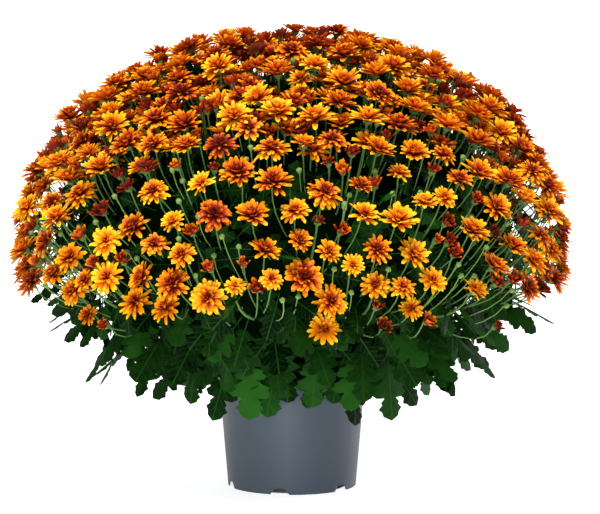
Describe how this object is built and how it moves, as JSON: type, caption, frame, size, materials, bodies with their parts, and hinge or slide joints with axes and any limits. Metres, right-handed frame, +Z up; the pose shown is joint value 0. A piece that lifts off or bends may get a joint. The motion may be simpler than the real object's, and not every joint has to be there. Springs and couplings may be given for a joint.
{
  "type": "potted chrysanthemum",
  "caption": "Wide dome of yellow and rust-red layered blooms over lobed green leaves, growing in a plain tapered round nursery pot with a notched foot.",
  "frame": {"origin": "on the pot's axis, at the level of the surface that the pot stands on; the plant's box is centred on it", "axes": "+Z up along the pot's axis; -Y towards the side that the picture shows; +X to the right in the picture"},
  "size_m": [0.7172, 0.7148, 0.5852],
  "materials": {
    "pot_plastic": "satin slate grey",
    "compost": "rough dark brown peat and bark compost",
    "leaf_green": "dark green leaves and stems; living plant tissue",
    "petal_orange": "yellow-tipped orange petals with red-brown bases; living plant tissue"
  },
  "bodies": {
    "root": {"compost": "compost", "foliage": "leaf_green", "pot": "pot_plastic", "spray_01": "petal_orange", "spray_02": "petal_orange", "spray_03": "petal_orange", "spray_04": "petal_orange", "spray_05": "petal_orange", "spray_06": "petal_orange", "spray_07": "petal_orange", "spray_08": "petal_orange", "spray_09": "petal_orange", "spray_10": "petal_orange", "spray_11": "petal_orange", "spray_12": "petal_orange", "spray_13": "petal_orange", "spray_14": "petal_orange", "spray_15": "petal_orange", "spray_16": "petal_orange", "spray_17": "petal_orange", "spray_18": "petal_orange", "spray_19": "petal_orange", "spray_20": "petal_orange", "spray_21": "petal_orange", "spray_22": "petal_orange", "spray_23": "petal_orange", "spray_24": "petal_orange", "spray_25": "petal_orange", "spray_26": "petal_orange", "spray_27": "petal_orange", "spray_28": "petal_orange", "spray_29": "petal_orange", "spray_30": "petal_orange", "spray_31": "petal_orange", "spray_32": "petal_orange", "spray_33": "petal_orange", "spray_34": "petal_orange", "spray_35": "petal_orange", "spray_36": "petal_orange", "spray_37": "petal_orange", "spray_38": "petal_orange", "spray_39": "petal_orange", "spray_40": "petal_orange", "spray_41": "petal_orange", "spray_42": "petal_orange", "spray_43": "petal_orange", "spray_44": "petal_orange", "spray_45": "petal_orange", "spray_46": "petal_orange", "spray_47": "petal_orange", "spray_48": "petal_orange", "spray_49": "petal_orange", "spray_50": "petal_orange", "spray_51": "petal_orange", "spray_52": "petal_orange", "spray_53": "petal_orange", "spray_54": "petal_orange", "spray_55": "petal_orange", "spray_56": "petal_orange"}
  },
  "joints": []
}
